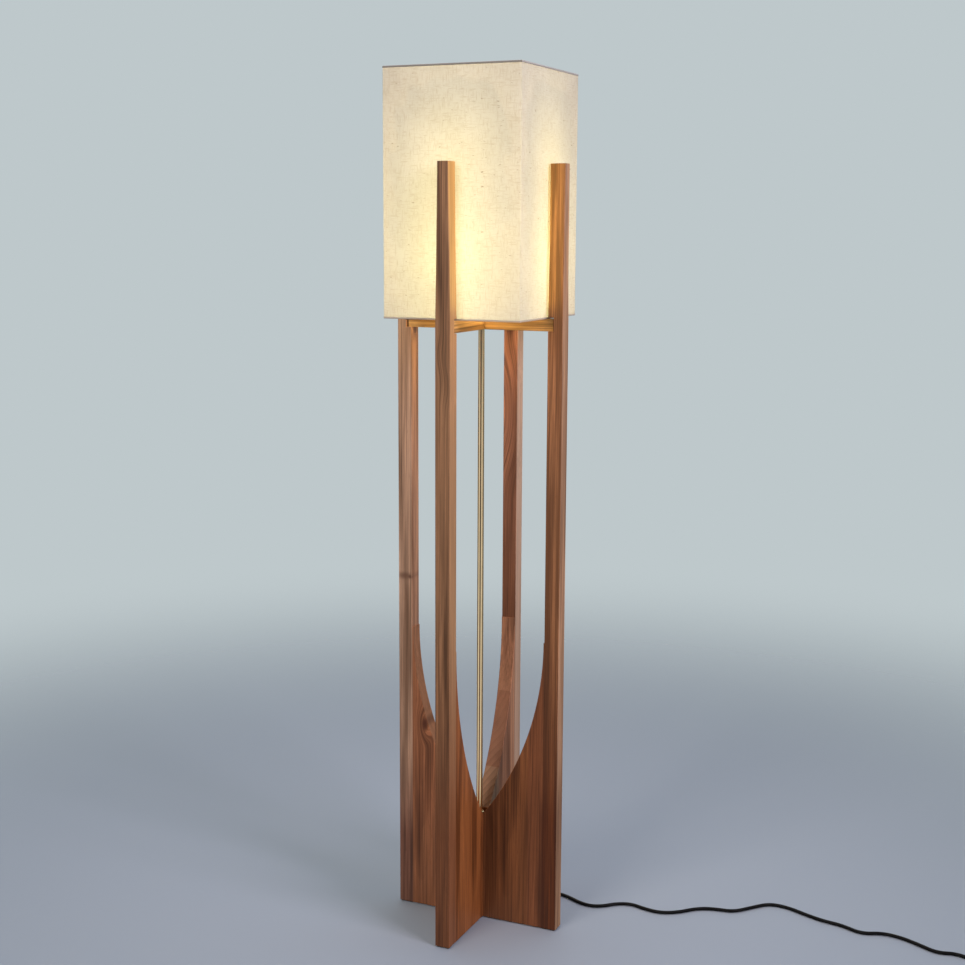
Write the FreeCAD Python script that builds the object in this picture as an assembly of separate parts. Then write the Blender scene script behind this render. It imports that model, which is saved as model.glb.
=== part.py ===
import FreeCAD, Part
import math
import os

Vector = FreeCAD.Vector
UP = Vector(0, 0, 1)

# Driving dimensions in millimetres. The floor is z = 0 and the lamp's axis is the Z axis.
# "Along" a leg means outwards from the axis, and "across" means over the thickness of its board.

# Legs and base boards
leg_span = 300.0            # outer face to outer face of two opposite posts
leg_top = 1300.0
post_width = 26.0           # along the leg
board_thickness = 26.0      # posts and boards are flush
post_tip_thickness = 19.0   # across, at the top of the tapered stretch
wing_top = 510.0            # where the inner curve leaves the post
wing_tip = 1.5              # blunt edge at the top of a wing
curve_radius = 517.0
edge_round = 1.0
felt_thickness = 2.0
felt_inset = 2.0            # felt edge back from the faces of the post

# Brace under the shade
brace_top = 1052.0
brace_height = 20.0
brace_thickness = 18.0
housing_depth = 10.0        # of the notch in a post's inner edge
housing_gap = 2.5           # left at the end of a bar
housing_headroom = 3.0      # left above a bar

# Brass tube on the axis
tube_radius = 5.5
tube_bore = 4.0
tube_foot = 120.0           # height of its seat in the crossing
tube_above_brace = 16.0
fit = 0.15                  # radial clearance of pieces that are pushed together
ferrule_radius = 8.5
ferrule_stand = 15.0        # height above the crossing of the boards
ferrule_length = 29.0
ferrule_chamfer = 1.0
washer_radius = 11.0
washer_thickness = 1.5
lock_nut_flats = 17.0
lock_nut_height = 4.0

# Lamp holder
holder_gap = 1.0            # lock nut to holder cap
cap_neck_radius = 8.0
cap_neck_height = 7.5
cap_radius = 17.0
cap_height = 23.5
cap_wall = 1.0
shell_wall = 0.6
shell_overlap = 8.0         # depth of the shell inside the cap
shell_height = 48.0
shell_rim = 1.0
sleeve_wall = 1.0
sleeve_inset = 2.0          # sleeve ends back from the shell's ends
block_radius = 13.6
block_lift = 5.0            # block's underside above the shell's lower end
block_height = 17.0
screw_shell_radius = 13.35  # inside
screw_shell_wall = 0.4
screw_shell_height = 23.0
screw_shell_floor = 0.6
contact_hole_radius = 6.0
contact_length = 10.0
contact_width = 6.0
contact_thickness = 0.5
contact_rise = 3.5
terminal_offset = 9.0
terminal_head_radius = 3.0
terminal_head_height = 2.0
terminal_shank_radius = 1.5
terminal_shank_length = 6.0
lead_radius = 0.8
lead_spacing = 3.0
lead_bend = 2.2

# Rotary switch in the lamp holder
spindle_radius = 2.0
spindle_run = 0.1           # radial running clearance
spindle_start = 4.0         # distance of its inner end from the axis
spindle_length = 27.0
spindle_drop = 9.0          # below the top of the block
spindle_window = 3.5        # radius of the window in the shell and sleeve
knob_radius = 6.0
knob_length = 12.0
knob_socket = 9.0           # depth of spindle inside the knob
knob_flutes = 8
knob_flute_radius = 1.2

# Bulb
bulb_gap = 0.3              # to the screw shell and to the centre contact
bulb_tip_radius = 4.5
bulb_tip_height = 1.5
insulator_radius = 11.4
insulator_cone = 3.8
insulator_rim = 1.4
base_shell_wall = 0.55
base_shell_height = 21.5
glass_wall = 0.8
glass_in_base = 15.0        # neck inside the base shell
neck_above_base = 2.0
globe_radius = 30.0
globe_lift = 44.0           # centre of the globe above the top of the neck

# Shade
total_height = 1450.0
shade_gap = 4.0             # shade to each post
shade_corner = 3.0
fabric_thickness = 1.0
liner_thickness = 0.8
trim_thickness = 0.4
trim_height = 3.0
wire_radius = 1.5
wire_gap = 0.1

# Mains lead
cord_radius = 3.0
cable_clearance = 1.0       # around the lead inside the wood
cable_height = 12.0         # of the lead inside the base board
groove_headroom = 10.0      # above the lead's middle
exit_inset = 40.0           # of the outlet, from the outer face of the back leg
exit_wall = 4.0             # wood left around the outlet
cable_foot_bend = 12.0
cable_exit_bend = 9.0
pocket_margin = 5.0
bushing_barrel_radius = 5.0
bushing_flange_radius = 7.0
bushing_flange = 2.0
bushing_root_radius = 5.5
bushing_tip_radius = 3.9
bushing_tail = 22.0
bushing_bore_gap = 0.1
floor_gap = 0.1
bend_share = 0.45           # of the shorter run beside a bend, taken up by the bend

# Coil of the spare lead, its tie and the plug
coil_x = 862.0
coil_y = 211.0
coil_radius = 41.0          # middle of the outermost turn
coil_pitch = 6.6
coil_lift = 1.2             # underside of the coil above the floor
coil_turns_in = 2.5
coil_turns_out = 2.0
coil_lead_in = 6.0          # straight start of the coil
coil_run_up = 16.0          # last straight run of the free stretch
coil_tail = 36.0
tie_width = 8.0
tie_thickness = 0.8
tie_gap = 0.4               # above and below the turns
tie_side_gap = 1.2
tie_angle = 90.0
plug_relief_length = 18.0
plug_relief_tip = 4.2
plug_relief_root = 6.2
plug_length = 32.0
plug_width = 26.0
plug_back_width = 15.0
plug_shoulder = 9.0
plug_thickness = 21.0
plug_round = 2.5
blade_spacing = 12.7
blade_length = 16.0
blade_width = 6.4
blade_thickness = 1.5
blade_taper = 1.5

# Hand-picked route of the free stretch on the floor: x, y and height of the lead's middle
lead_on_floor = cord_radius + floor_gap
exit_along = leg_span / 2 - exit_inset
lead_start = board_thickness / 2 + bushing_flange + bushing_tail
lead_run_out = 12.0         # straight run out of the bushing
cord_route = [
    (lead_start, exit_along, cable_height),
    (lead_start + lead_run_out, exit_along, cable_height),
    (61.0, 111.3, 9.6),
    (73.0, 115.0, 5.9),
    (86.0, 121.2, 3.6),
    (107.0, 126.8, lead_on_floor),
    (128.0, 119.0, lead_on_floor),
    (150.0, 107.5, lead_on_floor),
    (172.0, 102.6, lead_on_floor),
    (192.0, 110.5, lead_on_floor),
    (212.0, 131.5, lead_on_floor),
    (237.0, 141.0, lead_on_floor),
    (265.0, 131.5, lead_on_floor),
    (295.0, 128.5, lead_on_floor),
    (322.0, 143.0, lead_on_floor),
    (350.0, 174.0, lead_on_floor),
    (380.0, 184.5, lead_on_floor),
    (411.0, 187.0, lead_on_floor),
    (436.0, 217.0, lead_on_floor),
    (461.0, 246.0, lead_on_floor),
    (495.0, 244.5, lead_on_floor),
    (530.0, 229.0, lead_on_floor),
    (562.0, 217.5, lead_on_floor),
    (598.0, 213.0, lead_on_floor),
    (634.0, 195.0, lead_on_floor),
    (667.0, 213.0, lead_on_floor),
    (703.0, 207.0, lead_on_floor),
    (734.0, 192.0, lead_on_floor),
    (763.0, 177.0, lead_on_floor),
    (792.0, 186.5, lead_on_floor),
    (820.0, 176.0, lead_on_floor),
]

# Values that follow from the driving dimensions
leg_reach = leg_span / 2
post_inner = leg_reach - post_width
half_board = board_thickness / 2
curve_end = post_inner - wing_tip
curve_middle = curve_end - curve_radius
valley = wing_top - math.sqrt(curve_radius ** 2 - curve_middle ** 2)
lap_height = (felt_thickness + valley) / 2
ferrule_top = valley + ferrule_stand
brace_bottom = brace_top - brace_height
brace_reach = post_inner + housing_depth - housing_gap
tube_top = brace_top + tube_above_brace
nut_bottom = brace_top + washer_thickness
cap_bottom = nut_bottom + lock_nut_height + holder_gap
cap_top = cap_bottom + cap_height
shell_bottom = cap_top - shell_overlap
shell_top = shell_bottom + shell_height
shell_radius = cap_radius - cap_wall - fit
sleeve_radius = shell_radius - shell_wall - fit
block_bottom = shell_bottom + block_lift
block_top = block_bottom + block_height
spindle_height = block_top - spindle_drop
contact_top = block_top + contact_rise + contact_thickness
bulb_bottom = contact_top + bulb_gap
insulator_bottom = bulb_bottom + bulb_tip_height
base_shell_bottom = insulator_bottom + insulator_cone
base_shell_top = base_shell_bottom + base_shell_height
base_shell_radius = screw_shell_radius - bulb_gap
neck_radius = base_shell_radius - base_shell_wall - fit
neck_top = base_shell_top + neck_above_base
globe_middle = neck_top + globe_lift
shade_half = post_inner - shade_gap
fabric_bottom = brace_top + trim_thickness
fabric_top = total_height - trim_thickness
cable_top = block_bottom - terminal_head_height - 2 * lead_bend - 2 * lead_radius
coil_layer = coil_lift + cord_radius
coil_climb = coil_pitch


def block(x0, x1, y0, y1, z0, z1):
    """A box between two opposite corners."""
    return Part.makeBox(x1 - x0, y1 - y0, z1 - z0, Vector(x0, y0, z0))


def disc(radius, bottom, top):
    """A round bar on the lamp's axis."""
    return Part.makeCylinder(radius, top - bottom, Vector(0, 0, bottom))


def about_axis(shape, degrees):
    """The shape turned about the lamp's axis."""
    copy = shape.copy()
    copy.rotate(Vector(0, 0, 0), UP, degrees)
    return copy


def facing_back(shape, height):
    """The shape turned from the Z axis to +Y, then raised."""
    copy = shape.copy()
    copy.rotate(Vector(0, 0, 0), Vector(1, 0, 0), -90)
    copy.translate(Vector(0, 0, height))
    return copy


def line(start, end):
    return Part.LineSegment(start, end).toShape()


def arc(start, middle, end):
    return Part.Arc(start, middle, end).toShape()


def spun(outline):
    """A turned piece from a closed outline of (radius, height) points."""
    points = [Vector(radius, 0, height) for radius, height in outline]
    face = Part.Face(Part.makePolygon(points + points[:1]))
    return face.revolve(Vector(0, 0, 0), UP, 360)


def rounded_outline(x0, x1, y0, y1, z, radii):
    """A level rectangle as a closed wire, its corners rounded in the order +x+y, -x+y, -x-y, +x-y."""
    signs = [(1, 1), (-1, 1), (-1, -1), (1, -1)]
    corners = [Vector(x1, y1, z), Vector(x0, y1, z), Vector(x0, y0, z), Vector(x1, y0, z)]
    edges = []
    ends = []
    for number, (corner, radius) in enumerate(zip(corners, radii)):
        sign_x, sign_y = signs[number]
        along_x = corner + Vector(-sign_x * radius, 0, 0)
        along_y = corner + Vector(0, -sign_y * radius, 0)
        first, last = (along_y, along_x) if number % 2 == 0 else (along_x, along_y)
        ends.append((first, last))
        if radius > 0:
            inset = radius * (1 - math.sqrt(0.5))
            middle = corner + Vector(-sign_x * inset, -sign_y * inset, 0)
            edges.append(arc(first, middle, last))
    for number in range(4):
        edges.append(line(ends[number][1], ends[(number + 1) % 4][0]))
    return Part.Wire(Part.__sortEdges__(edges))


def prism(wire, height):
    return Part.Face(wire).extrude(Vector(0, 0, height))


# Routes of tubes: straight runs joined by tangent arcs

def route_radii(points):
    """The largest bend radius that the two runs beside each inner point leave room for."""
    radii = []
    for before, point, after in zip(points, points[1:], points[2:]):
        turn = (point - before).getAngle(after - point)
        shorter = min((point - before).Length, (after - point).Length)
        radii.append(bend_share * shorter / math.tan(turn / 2))
    return radii


def rounded_path(points, radii):
    """A wire of straight runs and arcs through the points."""
    edges = []
    start = points[0]
    for before, point, after, radius in zip(points, points[1:], points[2:], radii):
        back = (before - point).normalize()
        ahead = (after - point).normalize()
        half_turn = (point - before).getAngle(after - point) / 2
        setback = radius * math.tan(half_turn)
        inside = radius / math.cos(half_turn) - radius
        first = point + back * setback
        last = point + ahead * setback
        edges.append(line(start, first))
        edges.append(arc(first, point + (back + ahead).normalize() * inside, last))
        start = last
    edges.append(line(start, points[-1]))
    return Part.Wire(edges)


def round_tube(path, radius):
    """A solid round tube along a wire."""
    first = path.Edges[0]
    start = first.valueAt(first.FirstParameter)
    heading = first.tangentAt(first.FirstParameter)
    section = Part.Wire(Part.makeCircle(radius, start, heading))
    return path.makePipeShell([section], True, False)


def compare_volume(name, solid, path, radius):
    ratio = solid.Volume / (math.pi * radius ** 2 * path.Length)
    print(f"{name}: length {path.Length:.1f} mm, volume over section times length {ratio:.4f}")


# Wooden frame

def post():
    """One leg post, on the +X leg: flush with its wing below, eased and tapered above."""
    tip_half = post_tip_thickness / 2
    outer_only = (edge_round, 0, 0, edge_round)
    eased = (edge_round,) * 4
    reach = (post_inner, leg_reach, -half_board, half_board)
    low = prism(rounded_outline(*reach, felt_thickness, outer_only), wing_top - felt_thickness)
    straight = prism(rounded_outline(*reach, wing_top, eased), brace_top - wing_top)
    foot_of_taper = rounded_outline(*reach, brace_top, eased)
    tip = rounded_outline(post_inner, leg_reach, -tip_half, tip_half, leg_top, eased)
    taper = Part.makeLoft([foot_of_taper, tip], True, True)
    housing = block(post_inner - edge_round, post_inner + housing_depth, -board_thickness,
                    board_thickness, brace_bottom, brace_top + housing_headroom)
    return low.fuse([straight, taper]).removeSplitter().cut(housing)


def arched_board():
    """Two wings and the crossing between them, in the XZ plane, with the inner curve of both legs."""
    half_angle = math.acos(-curve_middle / curve_radius) / 2
    belly_x = curve_middle + curve_radius * math.cos(half_angle)
    belly_z = wing_top - curve_radius * math.sin(half_angle)
    right = [Vector(post_inner, 0, felt_thickness), Vector(post_inner, 0, wing_top),
             Vector(curve_end, 0, wing_top)]
    left = [Vector(-point.x, 0, point.z) for point in reversed(right)]
    bottom_of_v = Vector(0, 0, valley)
    edges = [line(right[0], right[1]), line(right[1], right[2]),
             arc(right[2], Vector(belly_x, 0, belly_z), bottom_of_v),
             arc(bottom_of_v, Vector(-belly_x, 0, belly_z), left[0]),
             line(left[0], left[1]), line(left[1], left[2]), line(left[2], right[0])]
    board = Part.Face(Part.Wire(edges)).extrude(Vector(0, board_thickness, 0))
    board.translate(Vector(0, -half_board, 0))
    return board


def eased_curves(board):
    """The board with the edges of its two large curves rounded over."""
    arcs = [edge for edge in board.Edges if edge.Curve.TypeId == "Part::GeomCircle"]
    large = [edge for edge in arcs if math.isclose(edge.Curve.Radius, curve_radius, rel_tol=1e-6)]
    return board.makeFillet(edge_round, large)


def base_board_left_right():
    """The board that keeps the upper half of the cross-lap and holds the tube's foot."""
    lap = block(-half_board, half_board, -board_thickness, board_thickness, 0, lap_height)
    tube_seat = disc(tube_radius + fit, tube_foot, wing_top)
    ferrule_seat = disc(ferrule_radius + fit, ferrule_top - ferrule_length, wing_top)
    lead_hole = disc(cord_radius + cable_clearance, 0, wing_top)
    return eased_curves(arched_board().cut([lap, tube_seat, ferrule_seat, lead_hole]))


def base_board_front_back():
    """The board that keeps the lower half of the cross-lap, grooved underneath for the lead."""
    lap = block(-half_board, half_board, -board_thickness, board_thickness, lap_height, wing_top)
    board = about_axis(arched_board().cut(lap), 90)
    side = cord_radius + cable_clearance
    ceiling = cable_height + groove_headroom
    lead_hole = disc(side, 0, lap_height)
    groove = block(-side, side, -side, exit_along, 0, ceiling)
    pocket = block(-side, half_board - exit_wall, exit_along - cable_exit_bend - pocket_margin,
                   exit_along + pocket_margin, 0, ceiling)
    outlet = Part.makeCylinder(bushing_barrel_radius, board_thickness,
                               Vector(0, exit_along, cable_height), Vector(1, 0, 0))
    return eased_curves(board.cut([lead_hole, groove, pocket, outlet]))


def brace_bar(lap_bottom, lap_top):
    """One bar of the brace, along X, halved at the crossing between two heights."""
    half = brace_thickness / 2
    bar = block(-brace_reach, brace_reach, -half, half, brace_bottom, brace_top)
    long_edges = [edge for edge in bar.Edges if edge.Length > 2 * post_inner]
    bar = bar.makeFillet(edge_round, long_edges)
    lap = block(-half, half, -board_thickness, board_thickness, lap_bottom, lap_top)
    return bar.cut([lap, disc(tube_radius + fit, brace_bottom, brace_top)])


def felt_pad():
    half = half_board - felt_inset
    return block(post_inner + felt_inset, leg_reach - felt_inset, -half, half, 0, felt_thickness)


# Tube and its fittings

def centre_tube():
    return disc(tube_radius, tube_foot, tube_top).cut(disc(tube_bore, tube_foot, tube_top))


def tube_ferrule():
    bore = tube_radius + fit
    return spun([
        (bore, ferrule_top - ferrule_length), (ferrule_radius, ferrule_top - ferrule_length),
        (ferrule_radius, ferrule_top - ferrule_chamfer), (ferrule_radius - ferrule_chamfer, ferrule_top),
        (bore, ferrule_top),
    ])


def tube_washer():
    ring = disc(washer_radius, brace_top, nut_bottom)
    return ring.cut(disc(tube_radius + fit, brace_top, nut_bottom))


def tube_lock_nut():
    corner = lock_nut_flats / math.sqrt(3)
    angles = [step * math.pi / 3 for step in range(7)]
    points = [Vector(corner * math.cos(angle), corner * math.sin(angle), nut_bottom) for angle in angles]
    nut = prism(Part.makePolygon(points), lock_nut_height)
    return nut.cut(disc(tube_radius + fit, nut_bottom, nut_bottom + lock_nut_height))


# Lamp holder with its rotary switch

def holder_cap():
    """Spun cap: a neck on the tube, a quarter-round shoulder and a straight skirt."""
    bore = tube_radius + fit
    inner_radius = cap_radius - cap_wall
    neck_end = cap_bottom + cap_neck_height - cap_wall
    shoulder = cap_radius - cap_neck_radius
    shoulder_middle = neck_end + shoulder
    slant = math.sqrt(0.5)
    inner_shoulder = inner_radius - cap_neck_radius
    inner_floor = shoulder_middle - inner_shoulder

    def at(radius, height):
        return Vector(radius, 0, height)

    edges = [
        line(at(bore, cap_bottom), at(cap_neck_radius, cap_bottom)),
        line(at(cap_neck_radius, cap_bottom), at(cap_neck_radius, neck_end)),
        arc(at(cap_neck_radius, neck_end),
            at(cap_neck_radius + shoulder * slant, shoulder_middle - shoulder * slant),
            at(cap_radius, shoulder_middle)),
        line(at(cap_radius, shoulder_middle), at(cap_radius, cap_top)),
        line(at(cap_radius, cap_top), at(inner_radius, cap_top)),
        line(at(inner_radius, cap_top), at(inner_radius, shoulder_middle)),
        arc(at(inner_radius, shoulder_middle),
            at(cap_neck_radius + inner_shoulder * slant, shoulder_middle - inner_shoulder * slant),
            at(cap_neck_radius, inner_floor)),
        line(at(cap_neck_radius, inner_floor), at(bore, inner_floor)),
        line(at(bore, inner_floor), at(bore, cap_bottom)),
    ]
    return Part.Face(Part.Wire(edges)).revolve(Vector(0, 0, 0), UP, 360)


def spindle_opening(radius):
    """Round opening for the switch spindle, from the axis to beyond the shell."""
    return facing_back(disc(radius, 0, 2 * cap_radius), spindle_height)


def holder_shell():
    """Shell of the lamp holder, with a turned-out rim and the spindle's window."""
    inner = shell_radius - shell_wall
    shell = spun([
        (inner, shell_bottom), (shell_radius, shell_bottom), (shell_radius, shell_top - 3 * shell_rim),
        (shell_radius + shell_rim, shell_top - 2 * shell_rim), (shell_radius + shell_rim, shell_top),
        (inner, shell_top),
    ])
    return shell.cut(spindle_opening(spindle_window))


def holder_sleeve():
    """Insulating sleeve inside the shell."""
    bottom = shell_bottom + sleeve_inset
    top = shell_top - sleeve_inset
    sleeve = disc(sleeve_radius, bottom, top).cut(disc(sleeve_radius - sleeve_wall, bottom, top))
    return sleeve.cut(spindle_opening(spindle_window))


def terminal_places():
    return [Vector(side * terminal_offset, 0, block_bottom) for side in (-1, 1)]


def switch_block():
    """Moulded block that carries the screw shell, the terminals and the spindle."""
    body = disc(block_radius, block_bottom, block_top)
    bores = [Part.makeCylinder(terminal_shank_radius, terminal_shank_length, place)
             for place in terminal_places()]
    return body.cut(bores + [spindle_opening(spindle_radius + spindle_run)])


def terminal_screws():
    """Two terminal screws in the underside of the block, heads down."""
    screws = []
    for place in terminal_places():
        underside = place - UP * terminal_head_height
        head = Part.makeCylinder(terminal_head_radius, terminal_head_height, underside)
        shank = Part.makeCylinder(terminal_shank_radius, terminal_shank_length, place)
        screws.append(head.fuse(shank).removeSplitter())
    return Part.makeCompound(screws)


def screw_shell():
    outer = screw_shell_radius + screw_shell_wall
    top = block_top + screw_shell_height
    cup = disc(outer, block_top, top).cut(disc(screw_shell_radius, block_top + screw_shell_floor, top))
    return cup.cut(disc(contact_hole_radius, block_top, top))


def centre_contact():
    """Springy tongue in the floor of the screw shell."""
    half = contact_length / 2
    outline = [(-half, 0), (0, 0), (half, contact_rise), (half, contact_rise + contact_thickness),
               (0, contact_thickness), (-half, contact_thickness)]
    points = [Vector(x, -contact_width / 2, block_top + z) for x, z in outline]
    face = Part.Face(Part.makePolygon(points + points[:1]))
    return face.extrude(Vector(0, contact_width, 0))


def holder_leads():
    """Two insulated cores from the end of the lead to the terminals."""
    level = cable_top + lead_bend + lead_radius
    head = block_bottom - terminal_head_height
    leads = []
    for side in (-1, 1):
        inner = side * lead_spacing / 2
        outer = side * terminal_offset
        points = [Vector(inner, 0, cable_top), Vector(inner, 0, level), Vector(outer, 0, level),
                  Vector(outer, 0, head)]
        leads.append(round_tube(rounded_path(points, (lead_bend, lead_bend)), lead_radius))
    return Part.makeCompound(leads)


def switch_spindle():
    return facing_back(disc(spindle_radius, spindle_start, spindle_start + spindle_length), spindle_height)


def switch_knob():
    """Fluted knob on the outer end of the spindle."""
    spindle_end = spindle_start + spindle_length
    bottom = spindle_end - knob_socket
    knob = disc(knob_radius, bottom, bottom + knob_length)
    rim = [edge for edge in knob.Edges if edge.BoundBox.ZMin > bottom]
    knob = knob.makeFillet(edge_round, rim)
    flutes = []
    for step in range(knob_flutes):
        angle = 2 * math.pi * step / knob_flutes
        place = Vector(knob_radius * math.cos(angle), knob_radius * math.sin(angle), bottom)
        flutes.append(Part.makeCylinder(knob_flute_radius, knob_length, place))
    knob = knob.cut(flutes + [disc(spindle_radius, bottom, spindle_end)])
    return facing_back(knob, spindle_height)


# Bulb

def glass_profile(inset):
    """Neck, cone and globe of the bulb as points and edges, drawn inwards by an inset."""
    neck = neck_radius - inset
    globe = globe_radius - inset
    to_middle = math.hypot(neck, globe_lift)
    lean = math.atan2(globe_lift, -neck) - math.asin(globe / to_middle)
    run = math.sqrt(to_middle ** 2 - globe ** 2)
    foot = Vector(neck, 0, base_shell_top - glass_in_base)
    shoulder = Vector(neck, 0, neck_top)
    touch = Vector(neck + run * math.cos(lean), 0, neck_top + run * math.sin(lean))
    side = Vector(globe, 0, globe_middle)
    crown = Vector(0, 0, globe_middle + globe)
    return foot, crown, [line(foot, shoulder), line(shoulder, touch), arc(touch, side, crown)]


def bulb_glass():
    outer_foot, outer_crown, outer = glass_profile(0)
    inner_foot, inner_crown, inner = glass_profile(glass_wall)
    edges = outer + [line(outer_crown, inner_crown)] + inner[::-1] + [line(inner_foot, outer_foot)]
    return Part.Face(Part.Wire(Part.__sortEdges__(edges))).revolve(Vector(0, 0, 0), UP, 360)


def bulb_base_shell():
    inner = base_shell_radius - base_shell_wall
    lip = insulator_radius + fit
    return spun([
        (lip, base_shell_bottom), (base_shell_radius, base_shell_bottom + insulator_rim),
        (base_shell_radius, base_shell_top), (inner, base_shell_top),
        (inner, base_shell_bottom + 2 * insulator_rim), (lip, base_shell_bottom + insulator_rim),
    ])


def bulb_base_insulator():
    top = base_shell_bottom + insulator_rim
    return spun([
        (0, insulator_bottom), (bulb_tip_radius, insulator_bottom), (insulator_radius, base_shell_bottom),
        (insulator_radius, top), (0, top),
    ])


def bulb_tip_contact():
    return disc(bulb_tip_radius, bulb_bottom, insulator_bottom)


# Shade

def square_band(half, wall, bottom, top):
    """An open square tube with rounded corners."""
    outer = rounded_outline(-half, half, -half, half, bottom, (shade_corner,) * 4)
    inside = half - wall
    inner = rounded_outline(-inside, inside, -inside, inside, bottom, (shade_corner - wall,) * 4)
    return prism(outer, top - bottom).cut(prism(inner, top - bottom))


def shade_fabric():
    return square_band(shade_half, fabric_thickness, fabric_bottom, fabric_top)


def shade_liner():
    half = shade_half - fabric_thickness
    return square_band(half, liner_thickness, fabric_bottom, fabric_top)


def shade_trim(edge, inward):
    """Tape turned over one edge of the fabric; inward is +1 at the bottom edge and -1 at the top."""
    half = shade_half + trim_thickness
    low, high = sorted((edge, edge + inward * trim_height))
    skirt = square_band(half, trim_thickness, low, high)
    low, high = sorted((edge, edge + inward * trim_thickness))
    lid = square_band(half, trim_thickness + fabric_thickness + liner_thickness, low, high)
    return skirt.fuse(lid).removeSplitter()


def shade_ring(height):
    """Wire ring inside one edge of the shade."""
    half = shade_half - fabric_thickness - liner_thickness - wire_gap - wire_radius
    path = rounded_outline(-half, half, -half, half, height, (2 * wire_radius,) * 4)
    return round_tube(path, wire_radius)


# Mains lead

def inner_lead():
    """The lead from the lamp holder down the tube, along the groove and out through the bushing."""
    points = [Vector(0, 0, cable_top), Vector(0, 0, cable_height), Vector(0, exit_along, cable_height),
              Vector(lead_start, exit_along, cable_height)]
    path = rounded_path(points, (cable_foot_bend, cable_exit_bend))
    solid = round_tube(path, cord_radius)
    compare_volume("inner lead", solid, path, cord_radius)
    return solid


def cord_bushing():
    """Tapered strain relief in the side of the back leg."""
    inner_end = -exit_wall
    bore = cord_radius + bushing_bore_gap
    bushing = spun([
        (bore, inner_end), (bushing_barrel_radius, inner_end), (bushing_barrel_radius, 0),
        (bushing_flange_radius, 0), (bushing_flange_radius, bushing_flange),
        (bushing_root_radius, bushing_flange), (bushing_tip_radius, bushing_flange + bushing_tail),
        (bore, bushing_flange + bushing_tail),
    ])
    bushing.rotate(Vector(0, 0, 0), Vector(0, 1, 0), 90)
    bushing.translate(Vector(half_board, exit_along, cable_height))
    return bushing


def coil_point(angle):
    """Middle of the lead at an angle along the coil: in on the floor layer, up, then out on the next."""
    angle_in = 2 * math.pi * coil_turns_in
    angle_up = angle_in + math.pi
    inner_radius = coil_radius - coil_pitch * coil_turns_in
    if angle < angle_in:
        radius = coil_radius - coil_pitch * angle / (2 * math.pi)
        height = coil_layer
    elif angle < angle_up:
        share = (angle - angle_in) / math.pi
        radius = inner_radius - coil_pitch / 2 * share * (1 - share)
        height = coil_layer + coil_climb * share ** 2 * (3 - 2 * share)
    else:
        radius = inner_radius + coil_pitch * (angle - angle_up) / (2 * math.pi)
        height = coil_layer + coil_climb
    place = angle - math.pi / 2
    return Vector(coil_x + radius * math.cos(place), coil_y + radius * math.sin(place), height)


def coil_heading(angle):
    small = 1e-4
    return (coil_point(angle + small) - coil_point(angle - small)).normalize()


def arc_from(start, heading, end):
    """The arc that leaves start along heading and ends at end."""
    chord = end - start
    across = (chord - heading * chord.dot(heading)).normalize()
    radius = chord.dot(chord) / (2 * chord.dot(across))
    middle = start + across * radius
    towards = (start + chord * 0.5 - middle).normalize()
    return arc(start, middle + towards * radius, end)


def biarc(start, start_heading, end, end_heading):
    """Two arcs that join two points with their headings."""
    chord = end - start
    both = start_heading + end_heading
    a = 2 * (1 - start_heading.dot(end_heading))
    b = 2 * chord.dot(both)
    reach = (math.sqrt(b * b + 4 * a * chord.dot(chord)) - b) / (2 * a)
    joint = (start + end + (start_heading - end_heading) * reach) * 0.5
    second = arc_from(end, end_heading * -1, joint)
    second.reverse()
    return [arc_from(start, start_heading, joint), second]


coil_angle = 2 * math.pi * (coil_turns_in + 0.5 + coil_turns_out)
coil_in_heading = coil_heading(0)
coil_out_heading = coil_heading(coil_angle)
coil_start = coil_point(0) - coil_in_heading * coil_lead_in
coil_approach = coil_start - coil_in_heading * coil_run_up
coil_end = coil_point(coil_angle) + coil_out_heading * coil_tail


def free_cord():
    """The free stretch from the bushing to the coil."""
    points = [Vector(*point) for point in cord_route] + [coil_approach, coil_start]
    radii = route_radii(points)
    print("cord bend radii:", " ".join(f"{radius:.0f}" for radius in radii))
    path = rounded_path(points, radii)
    solid = round_tube(path, cord_radius)
    compare_volume("free cord", solid, path, cord_radius)
    return solid


def coil_gap():
    """Least gap between different turns of the coil, on points along its middle."""
    steps = 400
    turn = steps / (coil_angle / (2 * math.pi))
    points = [coil_point(coil_angle * step / steps) for step in range(steps + 1)]
    least = min((points[i] - points[j]).Length
                for i in range(steps) for j in range(i + int(turn / 2), steps + 1))
    return least - 2 * cord_radius


def cord_coil():
    """The spare length as a neat coil of two layers, with straight ends."""
    edges = [line(coil_start, coil_point(0))]
    halves = round(coil_angle / math.pi)
    for half in range(halves):
        start = half * math.pi
        end = start + math.pi
        edges += biarc(coil_point(start), coil_heading(start), coil_point(end), coil_heading(end))
    edges.append(line(coil_point(coil_angle), coil_end))
    path = Part.Wire(edges)
    solid = round_tube(path, cord_radius)
    print(f"coil: least gap between turns {coil_gap():.2f} mm")
    compare_volume("coil", solid, path, cord_radius)
    return solid


def coil_tie():
    """Flat band round the turns of the coil at one place."""
    inner = coil_radius - coil_pitch * coil_turns_in - cord_radius - tie_side_gap
    outer = coil_radius + cord_radius + tie_side_gap
    low = coil_lift - tie_gap
    high = coil_layer + coil_climb + cord_radius + tie_gap
    skin = tie_thickness
    half = tie_width / 2
    band = block(inner - skin, outer + skin, -half, half, low - skin, high + skin)
    band = band.cut(block(inner, outer, -half, half, low, high))
    band.rotate(Vector(0, 0, 0), UP, tie_angle)
    band.translate(Vector(coil_x, coil_y, 0))
    return band


def at_coil_end(shape):
    """Carries a piece from the origin and +X to the end of the coil and its heading."""
    copy = shape.copy()
    copy.rotate(Vector(0, 0, 0), UP, math.degrees(math.atan2(coil_out_heading.y, coil_out_heading.x)))
    copy.translate(coil_end)
    return copy


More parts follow.
